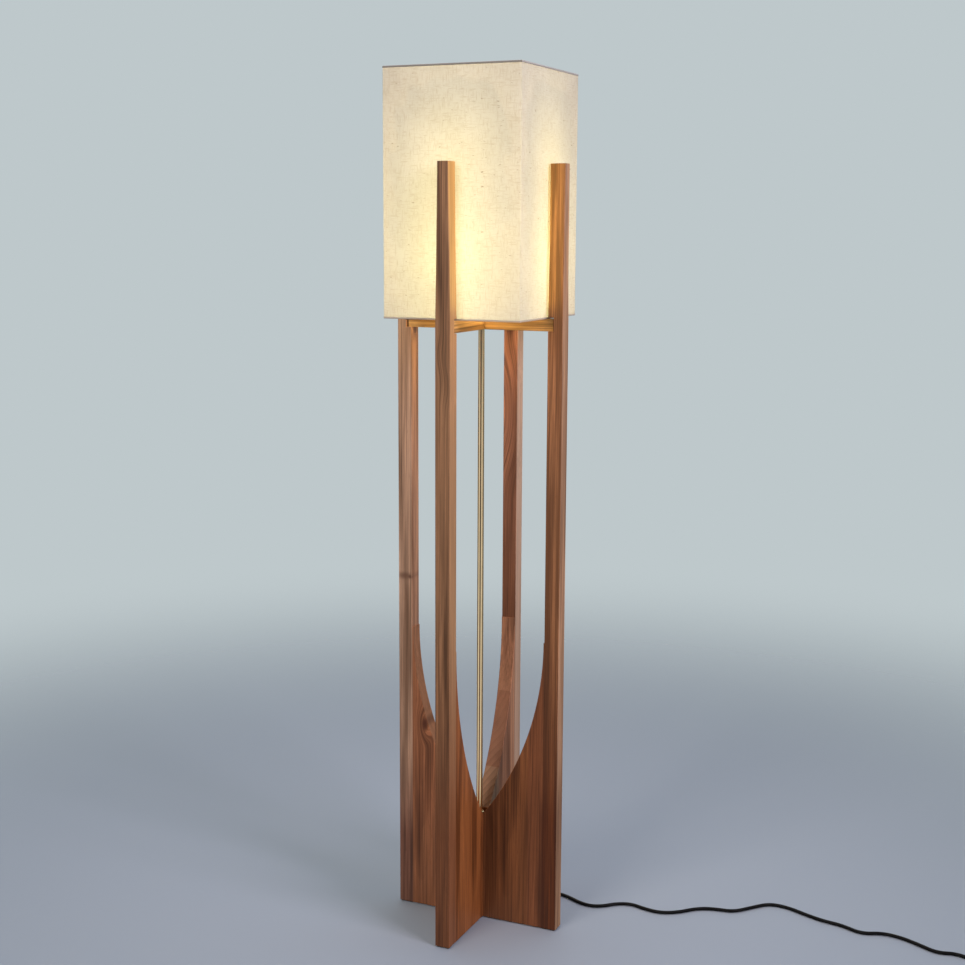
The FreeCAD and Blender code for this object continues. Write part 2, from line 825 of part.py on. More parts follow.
def plug_body():
    """Moulded two-pole plug with its tapered strain relief."""
    back = plug_relief_length
    relief = spun([(0, 0), (plug_relief_tip, 0), (plug_relief_root, back), (0, back)])
    relief.rotate(Vector(0, 0, 0), Vector(0, 1, 0), 90)
    front = back + plug_length
    outline = [(back, plug_back_width / 2), (back + plug_shoulder, plug_width / 2), (front, plug_width / 2)]
    outline += [(x, -y) for x, y in reversed(outline)]
    points = [Vector(x, y, -plug_thickness / 2) for x, y in outline]
    body = prism(Part.makePolygon(points + points[:1]), plug_thickness)
    body = body.makeFillet(plug_round, body.Edges)
    return at_coil_end(body.fuse(relief).removeSplitter())


def plug_blades():
    front = plug_relief_length + plug_length
    tip = front + blade_length
    half = blade_width / 2
    outline = [(front, half), (tip - blade_taper, half), (tip, half - blade_taper)]
    outline += [(x, -z) for x, z in reversed(outline)]
    blades = []
    for side in (-1, 1):
        low = side * blade_spacing / 2 - blade_thickness / 2
        points = [Vector(x, low, z) for x, z in outline]
        face = Part.Face(Part.makePolygon(points + points[:1]))
        blades.append(face.extrude(Vector(0, blade_thickness, 0)))
    return at_coil_end(Part.makeCompound(blades))


def all_parts():
    """Every piece of the lamp by name."""
    lap_middle = brace_bottom + brace_height / 2
    parts = {
        "base_board_left_right": base_board_left_right(),
        "base_board_front_back": base_board_front_back(),
        "brace_bar_left_right": brace_bar(brace_bottom, lap_middle),
        "brace_bar_front_back": about_axis(brace_bar(lap_middle, brace_top), 90),
        "centre_tube": centre_tube(),
        "tube_ferrule": tube_ferrule(),
        "tube_washer": tube_washer(),
        "tube_lock_nut": tube_lock_nut(),
        "holder_cap": holder_cap(),
        "holder_shell": holder_shell(),
        "holder_sleeve": holder_sleeve(),
        "switch_block": switch_block(),
        "terminal_screws": terminal_screws(),
        "screw_shell": screw_shell(),
        "centre_contact": centre_contact(),
        "holder_leads": holder_leads(),
        "switch_spindle": switch_spindle(),
        "switch_knob": switch_knob(),
        "bulb_glass": bulb_glass(),
        "bulb_base_shell": bulb_base_shell(),
        "bulb_base_insulator": bulb_base_insulator(),
        "bulb_tip_contact": bulb_tip_contact(),
        "shade_fabric": shade_fabric(),
        "shade_liner": shade_liner(),
        "shade_top_trim": shade_trim(total_height, -1),
        "shade_bottom_trim": shade_trim(brace_top, 1),
        "shade_top_ring": shade_ring(fabric_top - wire_gap - wire_radius),
        "shade_bottom_ring": shade_ring(fabric_bottom + wire_gap + wire_radius),
        "inner_lead": inner_lead(),
        "cord_bushing": cord_bushing(),
        "cord": free_cord(),
        "cord_coil": cord_coil(),
        "coil_tie": coil_tie(),
        "plug_body": plug_body(),
        "plug_blades": plug_blades(),
    }
    one_post = post()
    one_pad = felt_pad()
    for number, leg in enumerate(("right", "back", "left", "front")):
        parts["post_" + leg] = about_axis(one_post, 90 * number)
        parts["felt_pad_" + leg] = about_axis(one_pad, 90 * number)
    return parts


def main():
    os.makedirs("parts", exist_ok=True)
    for name, shape in all_parts().items():
        shape.exportStep(f"parts/{name}.step")


main()
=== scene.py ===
import math

import bmesh
import bpy
from mathutils import Matrix, Vector


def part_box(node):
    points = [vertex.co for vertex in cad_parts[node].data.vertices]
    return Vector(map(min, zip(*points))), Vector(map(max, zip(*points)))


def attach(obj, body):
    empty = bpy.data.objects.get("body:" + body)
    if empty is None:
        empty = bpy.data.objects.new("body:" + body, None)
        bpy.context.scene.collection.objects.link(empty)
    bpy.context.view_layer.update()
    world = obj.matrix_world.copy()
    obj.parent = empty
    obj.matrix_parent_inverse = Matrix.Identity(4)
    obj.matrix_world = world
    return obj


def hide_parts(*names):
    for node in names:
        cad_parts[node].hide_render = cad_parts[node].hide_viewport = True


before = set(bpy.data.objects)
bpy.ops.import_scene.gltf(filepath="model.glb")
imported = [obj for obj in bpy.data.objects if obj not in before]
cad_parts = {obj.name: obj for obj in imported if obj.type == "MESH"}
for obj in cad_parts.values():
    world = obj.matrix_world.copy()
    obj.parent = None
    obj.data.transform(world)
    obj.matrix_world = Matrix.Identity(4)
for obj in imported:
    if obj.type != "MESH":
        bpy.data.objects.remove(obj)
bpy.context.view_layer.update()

# Sizes and places in metres, angles in degrees, powers in watts, colours in linear light.
# The floor is z = 0, the lamp's axis is the Z axis, and its front looks along -Y.

# Camera of the photograph
picture_side = 965           # pixels
focal_pixels = 1538.28
sensor_width = 36.0          # millimetres
camera_distance = 2.5674     # from the lamp's axis
camera_azimuth = 24.301
camera_height = 1.1963
camera_yaw = -0.063
camera_pitch = 9.364
camera_roll = 0.268

# Floor and room
floor_radius = 4.0
floor_sides = 96
floor_drop = 0.0004          # below the felt pads
floor_fade = (0.6, 3.0)      # distances from the lamp between which the floor fades out
floor_colour = (0.308, 0.362, 0.452)
backdrop_colour = (0.515, 0.578, 0.597)
room_colour = (0.08, 0.08, 0.085)         # walls on the camera's side
room_floor_colour = (0.66, 0.66, 0.67)    # floor on the camera's side
room_skirt_colour = (0.10, 0.10, 0.105)   # low on the walls beside the lamp
wall_turn = (-0.55, 0.35)    # cosines to the view between which the walls turn from dark to pale
floor_turn = (0.37, 0.47)    # shares of the way from front to back between which the pale floor ends
skirt_turn = (0.85, 0.92)    # shares of that way between which the dark skirt ends
horizon_turn = (-0.12, -0.03)   # sines of the slope between which the floor ends and the walls begin
doorway_azimuth = 15.0       # a dark doorway behind the camera
doorway_turn = (0.88, 0.93)  # cosines to its middle between which it begins

# Studio lights
day_white = (0.97, 0.84, 0.88)
warm_white = (1.0, 0.865, 0.73)
soft_lights = {
    # name: (place, aim, side lengths, spread, power, colour)
    "key_light": ((2.1, -0.8, 2.0), (0.0, 0.0, 0.82), (1.0, 1.2), 80.0, 12.1, day_white),
    "front_light": ((-0.6, -3.2, 2.5), (0.0, 0.0, 0.90), (1.7, 1.7), 64.0, 13.8, warm_white),
    "top_light": ((-0.3, 0.3, 3.1), (0.0, 0.0, 0.9), (1.6, 1.6), 180.0, 17.5, warm_white),
}
# From behind, in the same order; it falls on the posts, base boards, shade and lead alone
fill_light = ((-2.2, 2.0, 2.2), (0.0, 0.0, 0.80), (1.8, 1.8), 70.0, 14.0, warm_white)

# Light of the bulb, and what the shade throws back
bulb_light_colour = (1.0, 0.74, 0.37)
bulb_light_power = 1.3
bulb_light_gap = 0.001
spill_power = 1.6            # light thrown back inside the shade that leaves it at the bottom
spill_on_posts = 4.0         # more of it, on the posts alone
spill_height = 1.115
scatter_powers = {1.115: 0.38, 1.31: 1.55}   # height: light thrown back that stays inside the shade
scatter_radius = 0.06
glow_colour = (1.0, 0.77, 0.12)
glow_powers = {"right": 0.5, "back": 0.4, "left": 0.4, "front": 0.31}   # what each side throws on the posts
glow_ways = {"right": (1, 0), "back": (0, 1), "left": (-1, 0), "front": (0, -1)}   # where each looks
glow_size = (0.21, 0.30)
glow_spread = 180.0
glow_height = 1.22
glow_gap = 0.001
glass_colour = (1.0, 0.80, 0.50)
glass_powers = (0.12, 0.75)  # glow of the bulb's neck and of its globe
glass_rise = 0.6             # share of the bulb's height at which the glow is full

# Shade
fabric_thickness = 0.0009
fabric_bow = 0.0005          # how far a side is drawn in at its middle
fabric_ripple = 0.00012
ripple_waves = ((61, 47, 33), (83, 0, 29))   # radians per metre along x, y and z of two crossing waves
fabric_rows = 60
shade_corner = 0.0012
corner_steps = 4
side_steps = 80
seam_width = 0.011
seam_rise = 0.0004
lap_start = -0.1152          # the linen laps over itself on the back side, near a corner
lap_ends = (lap_start, lap_start + seam_width)
lap_blend = 0.0008           # width in which the lap's darker tone begins and ends
hem_bead = 0.0011            # radius of the rolled edge
bead_steps = 8
hem_turn = 0.003             # height of the tape
hem_inside = 1.6 * hem_bead  # height up to which the folded tape is solid
thread_gap = 0.0008          # from thread to thread of the weave
thread_strength = 0.12       # of the threads in the linen's tone
linen_clearness = 0.5        # share of the light that the linen lets through
linen_outside = (0.97, 1.0, 1.08)   # tint of the light that it throws back
lap_shade = 0.3              # how much darker the linen is where it laps over itself: two layers let less light through, and its outside tone carries the same painted shade
corner_painted_shade = 0.13            # painted shade along each corner of the linen, which dims the light that the corner catches
inside_clearness = 0.9       # share of the bulb's light that the layers inside the linen let through
inside_tint = (0.82, 0.87, 0.86)    # what they make of it

# Wood
board_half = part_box("base_board_left_right")[1].x
foot_shade_span = (0.2, 0.55)      # heights between which painted shade darkens a post towards its foot
left_span = (0.13, 0.30)     # the same for the left post
back_span = (0.53, 0.84)     # the same for the back post, whose foot is behind the board
early_wood = (1.40, 1.46, 1.50)     # tint of the pale wood in each ring
dark_wood = (0.56, 0.52, 0.48)      # tint of the dark bands, streaks and pores
knot_wood = (0.6, 0.5, 0.5)         # tint of a knot's middle, on top of that
ring_run = 0.08              # how fast the rings change along the grain, as a share of across it
fibre_lean = (0.006, 0.003)  # slope of the fibres against the grain's axis
mean_late = 0.39             # share of late wood that stands for rings too faint to see
long_rings = 0.4             # strength of the rings on faces along the grain, 1 on end grain
end_bands = 0.3              # strength of the dark bands on end grain, 1 on faces along it
streak_strength = 0.8
pore_strength = 0.45
grain_noises = {
    # name: (cells per metre across the grain, share of that along it, detail, roughness)
    "bands": (60.0, 0.05, 3.0, 0.5),
    "fibre": (500.0, 0.010, 4.0, 0.62),
    "streaks": (190.0, 0.02, 2.0, 0.5),
    "pores": (1300.0, 0.05, 2.0, 0.5),
}

# Other materials
black = (0.0, 0.0, 0.0)
white = (1.0, 1.0, 1.0)
bulb_thread_gap = 0.0036     # from turn to turn of the bulb's thread

# Mains lead
cord_radius = 0.003
coil_middle = (0.862, 0.211)
coil_radius = 0.041
coil_pitch = 0.0066
coil_layer = 0.0042
coil_turns_in = 2.5
coil_turns_up = 0.5
coil_turns_out = 2.0
coil_lead_in = 0.006
coil_run_up = 0.016
coil_tail = 0.036
coil_steps = 16              # route points in a turn
heading_step = 1e-4          # radians of the coil between which its heading is taken

# Route of the free stretch, the same points as the solid tube has
on_floor = 0.0031
cord_route = [
    (0.037, 0.110, 0.012),
    (0.049, 0.110, 0.012),
    (0.061, 0.1113, 0.0096),
    (0.073, 0.115, 0.0059),
    (0.086, 0.1212, 0.0036),
    (0.107, 0.1268, on_floor),
    (0.128, 0.119, on_floor),
    (0.150, 0.1075, on_floor),
    (0.172, 0.1026, on_floor),
    (0.192, 0.1105, on_floor),
    (0.212, 0.1315, on_floor),
    (0.237, 0.141, on_floor),
    (0.265, 0.1315, on_floor),
    (0.295, 0.1285, on_floor),
    (0.322, 0.143, on_floor),
    (0.350, 0.174, on_floor),
    (0.380, 0.1845, on_floor),
    (0.411, 0.187, on_floor),
    (0.436, 0.217, on_floor),
    (0.461, 0.246, on_floor),
    (0.495, 0.2445, on_floor),
    (0.530, 0.229, on_floor),
    (0.562, 0.2175, on_floor),
    (0.598, 0.213, on_floor),
    (0.634, 0.195, on_floor),
    (0.667, 0.213, on_floor),
    (0.703, 0.207, on_floor),
    (0.734, 0.192, on_floor),
    (0.763, 0.177, on_floor),
    (0.792, 0.1865, on_floor),
    (0.820, 0.176, on_floor),
]


# Shader helpers

def add(tree, kind, inputs=None, **settings):
    """A shader node. Its inputs are plain values or the sockets that feed them."""
    made = tree.nodes.new("ShaderNode" + kind)
    for name, value in settings.items():
        setattr(made, name, value)
    for name, value in (inputs or {}).items():
        if isinstance(value, bpy.types.NodeSocket):
            tree.links.new(value, made.inputs[name])
        else:
            made.inputs[name].default_value = value
    return made


def opaque(colour):
    return (*colour, 1.0)


def grey(value):
    return (value, value, value)


def tinted(tone, factors):
    """A plain colour multiplied by another."""
    return [part * factor for part, factor in zip(tone, factors)]


def calc(tree, operation, first, second=0.0, third=0.0):
    """The math node's result; its operands are numbers or sockets."""
    return add(tree, "Math", {0: first, 1: second, 2: third}, operation=operation).outputs[0]


def product(tree, first, second):
    return calc(tree, "MULTIPLY", first, second)


def mixed(tree, share, first, second, mode="MIX"):
    """Two colours mixed; a colour is a socket or three numbers."""
    sides = [side if isinstance(side, bpy.types.NodeSocket) else opaque(side) for side in (first, second)]
    mix = add(tree, "Mix", {0: share, 6: sides[0], 7: sides[1]}, data_type="RGBA", blend_type=mode)
    return mix.outputs[2]


def filtered(tree, first, second):
    """Two colours multiplied."""
    return mixed(tree, 1.0, first, second, "MULTIPLY")


def stained(tree, colour, share, strength, stain):
    """A colour with a stain of some strength where the share is 1."""
    return mixed(tree, product(tree, share, strength), colour, stain)


def ramp(tree, share, stops, interpolation="LINEAR"):
    """A colour ramp of (place, colour) stops."""
    made = add(tree, "ValToRGB", {"Fac": share})
    line = made.color_ramp
    line.interpolation = interpolation
    line.elements.remove(line.elements[1])
    (first_place, first_colour), *others = stops
    line.elements[0].position = first_place
    line.elements[0].color = opaque(first_colour)
    for place, colour in others:
        line.elements.new(place).color = opaque(colour)
    return made.outputs["Color"]


def mottled(tree, share, first, second):
    """The two colours of a noise's low and high patches."""
    return ramp(tree, share, [(0.3, first), (0.7, second)])


def steps(tree, share, low, high, kind="LINEAR"):
    """0 at low, 1 at high and the same beyond them, straight or smooth between."""
    made = add(tree, "MapRange", {"Value": share, "From Min": low, "From Max": high}, interpolation_type=kind)
    return made.outputs["Result"]


def ranged(tree, share, first, last):
    """A number that goes from first to last as the share goes from 0 to 1."""
    return add(tree, "MapRange", {"Value": share, "To Min": first, "To Max": last}).outputs["Result"]


def noise(tree, vector, scale, detail=2.0, rough=0.5):
    made = add(tree, "TexNoise", {"Vector": vector, "Scale": scale, "Detail": detail, "Roughness": rough})
    return made.outputs["Fac"]


def wave_scale(gap):
    """The wave texture's scale at which its waves are this far apart."""
    return math.pi / (10 * gap)


def scaled(tree, vector, factors, offset=(0.0, 0.0, 0.0)):
    """A point moved by an offset, then stretched."""
    moved = add(tree, "VectorMath", {0: vector, 1: offset}, operation="ADD")
    made = add(tree, "VectorMath", {0: moved.outputs[0], 1: factors}, operation="MULTIPLY")
    return made.outputs[0]


def measure(tree, operation, first, second=(0.0, 0.0, 0.0)):
    """A number from vectors, such as a length or a dot product."""
    return add(tree, "VectorMath", {0: first, 1: second}, operation=operation).outputs["Value"]


def parts(tree, vector):
    """The x, y and z of a vector."""
    return dict(zip("xyz", add(tree, "SeparateXYZ", {0: vector}).outputs))


def facing_parts(tree):
    """The x, y and z of the direction in which the surface looks."""
    return parts(tree, add(tree, "TexCoord").outputs["Normal"])


def feed(tree, shader, **sockets):
    """Links sockets to the shader's inputs of those names."""
    for name, socket in sockets.items():
        tree.links.new(socket, shader.inputs[name.replace("_", " ")])


def bumped(tree, shader, height, strength, distance):
    made = add(tree, "Bump", {"Height": height, "Strength": strength, "Distance": distance})
    feed(tree, shader, Normal=made.outputs["Normal"])


def blended(tree, share, first, second):
    """Two shaders mixed."""
    return add(tree, "MixShader", {0: share, 1: first.outputs[0], 2: second.outputs[0]})


def show(tree, shader):
    """Makes a shader the material's surface."""
    output = next(node for node in tree.nodes if node.type == "OUTPUT_MATERIAL")
    tree.links.new(shader.outputs[0], output.inputs["Surface"])


def principled(name, **values):
    """A new material with one Principled shader, and the point on the piece that its patterns read."""
    material = bpy.data.materials.new(name)
    material.use_nodes = True
    tree = material.node_tree
    tree.nodes.clear()
    shader = add(tree, "BsdfPrincipled", {key.replace("_", " "): value for key, value in values.items()})
    add(tree, "OutputMaterial")
    show(tree, shader)
    place = add(tree, "TexCoord").outputs["Object"]
    return material, tree, shader, place


def dress(material, *nodes):
    """Gives CAD nodes a material."""
    for name in nodes:
        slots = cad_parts[name].data.materials
        slots.clear()
        slots.append(material)


# Wood

def grain_point(tree, place, along, pith, lean, split):
    """The point as (across, across, along the grain), with the tree's pith as the axis, leaning along it.
    split is (axis, edge, shift): past that edge another stave begins, from a place beside the first."""
    spots = parts(tree, place)
    if split:
        axis, edge, shift = split
        beyond = product(tree, calc(tree, "GREATER_THAN", spots[axis], edge), shift)
        spots[axis] = calc(tree, "ADD", spots[axis], beyond)
    across = []
    for axis, middle, slope in zip("xyz".replace(along, ""), pith, lean):
        shift = calc(tree, "MULTIPLY_ADD", spots[along], -slope, -middle)
        across.append(calc(tree, "ADD", spots[axis], shift))
    return add(tree, "CombineXYZ", {0: across[0], 1: across[1], 2: spots[along]}).outputs[0]


def knot_at(x, z, wide, high, bend=0.0, core=0.0, depth=0.0):
    """A knot's place and size. bend is how far it pushes the grain aside, core the share where its dark
    middle begins, and depth how dark that is."""
    return dict(x=x, z=z, wide=wide, high=high, bend=bend, core=core, depth=depth)


def knot_share(tree, place, knot):
    """1 at a knot's middle, 0 outside it."""
    near = scaled(tree, place, (1 / knot["wide"], 0.0, 1 / knot["high"]), (-knot["x"], 0.0, -knot["z"]))
    return steps(tree, measure(tree, "LENGTH", near), 1.0, 0.0, "SMOOTHERSTEP")


def knot_bent(tree, point, pulls):
    """The point in the grain, pushed aside by each knot."""
    for pull, knot in pulls:
        push = {0: pull, 1: (knot["bend"], 0.0, 0.0), 2: point}
        point = add(tree, "VectorMath", push, operation="MULTIPLY_ADD").outputs[0]
    return point


def grain_noise(tree, point, name):
    """A noise drawn out along the grain."""
    rate, along, detail, rough = grain_noises[name]
    return noise(tree, scaled(tree, point, (1.0, 1.0, along)), rate, detail, rough)


def late_share(tree, point, ring_gap):
    """Share of late wood: it rises through each growth ring and ends sharply."""
    rings = add(tree, "TexWave", {
        "Vector": scaled(tree, point, (1.0, 1.0, ring_run)), "Scale": wave_scale(ring_gap), "Distortion": 7.0,
        "Detail": 3.0, "Detail Scale": 0.35, "Detail Roughness": 0.55,
    }, wave_type="RINGS", rings_direction="Z", wave_profile="SAW").outputs["Fac"]
    return ramp(tree, rings, [(0.0, black), (0.5, grey(0.3)), (0.93, white), (1.0, grey(0.1))])


def grain_colour(tree, late, fibre, pore, straight, across, tone, bold):
    """Tone of the wood with its rings, dark bands, fibre streaks and pores. across is 1 on a face that cuts
    the grain squarely and 0 on one along it; bold is the strength of narrow dark streaks."""
    dark = tinted(tone, dark_wood)
    long_grain = steps(tree, across, low=0.35, high=0.05)
    end_grain = steps(tree, across, low=0.42, high=0.52)
    seen_rings = mixed(tree, ranged(tree, end_grain, long_rings, 1.0), grey(mean_late), late)
    colour = mixed(tree, seen_rings, tinted(tone, early_wood), tone)
    bands = steps(tree, grain_noise(tree, straight, "bands"), low=0.44, high=0.66)
    colour = stained(tree, colour, bands, ranged(tree, long_grain, end_bands, 1.0), dark)
    streaks = ramp(tree, fibre, [(0.32, grey(0.38)), (0.68, grey(1.50))])
    colour = mixed(tree, product(tree, long_grain, streak_strength), colour, streaks, "MULTIPLY")
    if bold:
        narrow = steps(tree, grain_noise(tree, straight, "streaks"), low=0.47, high=0.62)
        colour = stained(tree, colour, product(tree, narrow, long_grain), bold, dark)
    return stained(tree, colour, pore, pore_strength, dark)


def stave_and_light_tint(tree, place, staves):
    """Tint at a point of a glued board: each stave's own tone with painted shade and light; staves is (axis,
    [(edge, tint), ...]).
    """
    axis, tints = staves
    share = steps(tree, parts(tree, place)[axis], -board_half, board_half)
    stops = [((edge + board_half) / (2 * board_half), tint) for edge, tint in tints]
    return ramp(tree, share, stops, "CONSTANT")


def foot_shaded(tree, colour, place, foot, span):
    """A colour darkened towards the foot by painted shade, within a span of heights."""
    share = steps(tree, parts(tree, place)["z"], *span)
    return filtered(tree, colour, mixed(tree, share, foot, white))


def painted_face_light(tree, colour, place, facing, tone, side=None, calm=0.0, foot=None, side_foot=None,
                span=foot_shade_span):
    """side is painted light and sheen on the face that looks along +X (painted shade on the left post), calm
    is how much plainer that face is under it, and side_foot paints shade on its lower end; foot paints shade
    on the lower end of the other faces."""
    face = colour
    if foot:
        face = foot_shaded(tree, colour, place, foot, span)
    if side:
        plain = mixed(tree, calm, colour, tone)
        if side_foot:
            plain = foot_shaded(tree, plain, place, side_foot, span)
        lit_side_share = steps(tree, facing["x"], low=0.6, high=0.8)
        face = mixed(tree, lit_side_share, face, filtered(tree, plain, side))
    return face


def wood(name, along, pith, lean, ring_gap, tone, seed, staves=None, split=None, knots=(), bold=0.0, **faces):
    """Oiled walnut: growth rings round a pith, fibre streaks, pores and knots. faces holds the face settings,
    which paint sheen on the face that looks along +X and shade towards the foot."""
    material, tree, shader, place = principled(name, Specular_IOR_Level=0.25)
    facing = facing_parts(tree)
    pulls = [(knot_share(tree, place, knot), knot) for knot in knots]
    curved = knot_bent(tree, grain_point(tree, place, along, pith, lean, split), pulls)
    straight = knot_bent(tree, grain_point(tree, place, along, (seed, seed), fibre_lean, split), pulls)
    late = late_share(tree, curved, ring_gap)
    fibre = grain_noise(tree, straight, "fibre")
    pore = steps(tree, grain_noise(tree, straight, "pores"), low=0.60, high=0.72)
    across = calc(tree, "ABSOLUTE", facing[along])
    colour = grain_colour(tree, late, fibre, pore, straight, across, tone, bold)
    for pull, knot in pulls:
        middle = steps(tree, pull, knot["core"], 1.0)
        colour = stained(tree, colour, middle, knot["depth"], tinted(tinted(tone, dark_wood), knot_wood))
    if staves:
        colour = filtered(tree, colour, stave_and_light_tint(tree, place, staves))
    colour = painted_face_light(tree, colour, place, facing, tone, **faces)
    feed(tree, shader, Base_Color=colour, Roughness=ranged(tree, fibre, first=0.40, last=0.58))
    bumped(tree, shader, calc(tree, "SUBTRACT", fibre, pore), strength=0.12, distance=0.0004)
    return material


def dress_posts():
    flat_knots = [knot_at(x=-0.138, z=0.601, wide=0.026, high=0.011, depth=0.75),
                  knot_at(x=-0.128, z=0.600, wide=0.006, high=0.006, core=0.1, depth=0.9)]
    slant_grain = [knot_at(x=0.0, z=0.88, wide=0.06, high=0.17, bend=-0.022)]
    curly_grain = [knot_at(x=-0.012, z=1.00, wide=0.022, high=0.045, bend=0.004),
                   knot_at(x=0.010, z=0.95, wide=0.022, high=0.050, bend=-0.004)]
    # side paints sheen and light on each post's +X face (shade on the left post's); foot and side_foot paint
    # shade low down
    dress(wood("walnut_post_left", along="z", pith=(-0.190, 0.060), lean=(0.004, 0.0), ring_gap=0.0065,
               tone=(0.293, 0.177, 0.117), seed=1.3, knots=flat_knots, side=(0.95, 0.83, 0.73),
               foot=(0.50, 0.35, 0.33), span=left_span), "post_left")
    dress(wood("walnut_post_front", along="z", pith=(0.050, -0.200), lean=(0.003, 0.002), ring_gap=0.0055,
               tone=(0.182, 0.092, 0.0465), seed=2.7, knots=curly_grain, side=(1.93, 2.08, 1.95), calm=0.6,
               foot=(0.68, 0.47, 0.35), side_foot=(0.74, 0.51, 0.45)), "post_front")
    dress(wood("walnut_post_right", along="z", pith=(0.200, -0.060), lean=(-0.003, 0.0), ring_gap=0.0060,
               tone=(0.200, 0.085, 0.036), seed=4.1, bold=0.75, side=(1.92, 2.45, 3.2),
               foot=(0.43, 0.26, 0.14)), "post_right")
    dress(wood("walnut_post_back", along="z", pith=(-0.045, 0.180), lean=(0.006, 0.003), ring_gap=0.0070,
               tone=(0.203, 0.085, 0.0485), seed=5.9, knots=slant_grain, side=(2.1, 3.25, 3.9), calm=0.6,
               foot=(0.60, 0.54, 0.42), span=back_span), "post_back")


def dress_boards():
    # Stave tints: each stave's own tone, plus painted shade from the middle to the right wing and painted
    # light on the back staves
    eye_knot = [knot_at(x=-0.0996, z=0.338, wide=0.024, high=0.050, bend=0.02, core=0.80, depth=1.0)]
    left_right = [(-board_half, white), (-0.030, (0.64, 0.59, 0.46)), (0.0966, (0.67, 0.60, 0.52))]
    front_back = [(-board_half, white), (0.013, (1.05, 1.75, 3.3)), (0.0536, (0.90, 1.20, 2.1)),
                  (0.105, (1.12, 1.62, 2.9))]
    dress(wood("walnut_board_left_right", along="z", pith=(-0.105, -0.050), lean=(0.0, 0.09),
               ring_gap=0.0080, tone=(0.208, 0.079, 0.035), seed=7.7, staves=("x", left_right),
               split=("x", 0.0, -0.165), knots=eye_knot, side=(0.95, 1.15, 1.25)), "base_board_left_right")
    dress(wood("walnut_board_front_back", along="z", pith=(0.200, -0.030), lean=(0.02, 0.004),
               ring_gap=0.0065, tone=(0.206, 0.063, 0.0184), seed=9.2, staves=("y", front_back),
               split=("y", 0.013, 0.16), side=(1.35, 1.45, 1.45)), "base_board_front_back")


def dress_braces():
    # The bars' tone is far lighter than the posts': partly painted light from the bulb, which falls on them
    for bar, along, seed in (("left_right", "x", 11.0), ("front_back", "y", 12.0)):
        dress(wood("walnut_brace_" + bar, along, pith=(0.040, 1.085), lean=(0.01, 0.0), ring_gap=0.0060,
                   tone=(0.430, 0.240, 0.078), seed=seed), "brace_bar_" + bar)


# Metals, plastics and small materials

def brushed_metal(name, colour, roughness, stretch):
    """Metal with fine drawing lines; stretch squeezes the pattern along the lines."""
    material, tree, shader, place = principled(name, Metallic=1.0)
    lines = noise(tree, scaled(tree, place, stretch), scale=900.0, detail=3.0)
    stain = steps(tree, noise(tree, place, scale=22.0, detail=3.0), low=0.35, high=0.75)
    tone = mixed(tree, stain, colour, tinted(colour, grey(0.86)))
    feed(tree, shader, Base_Color=tone, Roughness=ranged(tree, lines, 0.8 * roughness, 1.3 * roughness))
    bumped(tree, shader, lines, strength=0.03, distance=0.0002)
    return material


def moulded(name, colour, roughness, shine=0.5):
    """Moulded plastic or rubber with a fine matt grain and faint handling marks."""
    material, tree, shader, place = principled(name, Specular_IOR_Level=shine)
    fine = noise(tree, place, scale=1400.0)
    marks = noise(tree, place, scale=45.0, detail=4.0, rough=0.65)
    worn = [part * 1.35 + 0.004 for part in colour]
    tone = mixed(tree, steps(tree, marks, low=0.40, high=0.75), colour, worn)
    feed(tree, shader, Base_Color=tone, Roughness=ranged(tree, marks, 0.85 * roughness, 1.15 * roughness))
    bumped(tree, shader, fine, strength=0.10, distance=0.0002)
    return material


def felt():
    material, tree, shader, place = principled("felt", Roughness=0.95, Sheen_Weight=0.3)
    fuzz = noise(tree, place, scale=1100.0, detail=4.0, rough=0.7)
    feed(tree, shader, Base_Color=mottled(tree, fuzz, (0.020, 0.018, 0.016), (0.060, 0.054, 0.048)))
    bumped(tree, shader, fuzz, strength=0.5, distance=0.0006)
    return material


def pressed_fibre():
    material, tree, shader, place = principled("pressed_fibre", Roughness=0.8)
    flecks = noise(tree, place, scale=700.0, detail=4.0, rough=0.7)
    feed(tree, shader, Base_Color=mottled(tree, flecks, (0.34, 0.25, 0.15), (0.52, 0.42, 0.28)))
    bumped(tree, shader, flecks, strength=0.2, distance=0.0003)
    return material


def opal_glass():
    """Lit opal glass, brightest round the globe."""
    material, tree, shader, place = principled("opal_glass", Roughness=0.18,
                                               Emission_Color=opaque(glass_colour))
    haze = noise(tree, place, scale=60.0)
    low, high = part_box("bulb_glass")
    share = steps(tree, parts(tree, place)["z"], low.z, low.z + glass_rise * (high.z - low.z))
    feed(tree, shader, Base_Color=mottled(tree, haze, (0.90, 0.88, 0.83), (0.96, 0.94, 0.90)),
         Emission_Strength=ranged(tree, share, *glass_powers))
    return material


def rolled_thread():
    """Aluminium bulb base with its rolled thread as rings."""
    material, tree, shader, place = principled("rolled_thread", Metallic=1.0, Roughness=0.3)
    turns = add(tree, "TexWave", {"Vector": place, "Scale": wave_scale(bulb_thread_gap)},
                wave_type="BANDS", bands_direction="Z", wave_profile="SIN").outputs["Fac"]
    feed(tree, shader, Base_Color=mixed(tree, turns, grey(0.62), grey(0.80)))
    bumped(tree, shader, turns, strength=0.6, distance=0.001)
    return material


def dress_metals():
    dress(brushed_metal("polished_brass", (0.98, 0.77, 0.46), roughness=0.07, stretch=(1.0, 1.0, 0.01)),
          "centre_tube", "tube_ferrule")
    dress(brushed_metal("zinc_steel", (0.60, 0.60, 0.61), roughness=0.32, stretch=(1.0, 1.0, 1.0)),
          "tube_washer", "tube_lock_nut", "terminal_screws", "switch_spindle")
    dress(brushed_metal("holder_brass", (0.70, 0.54, 0.29), roughness=0.30, stretch=(1.0, 1.0, 12.0)),
          "holder_cap", "holder_shell", "centre_contact", "screw_shell")
    dress(brushed_metal("blade_brass", (0.76, 0.66, 0.44), roughness=0.28, stretch=(1.0, 1.0, 1.0)),
          "plug_blades")
    dress(rolled_thread(), "bulb_base_shell", "bulb_tip_contact")


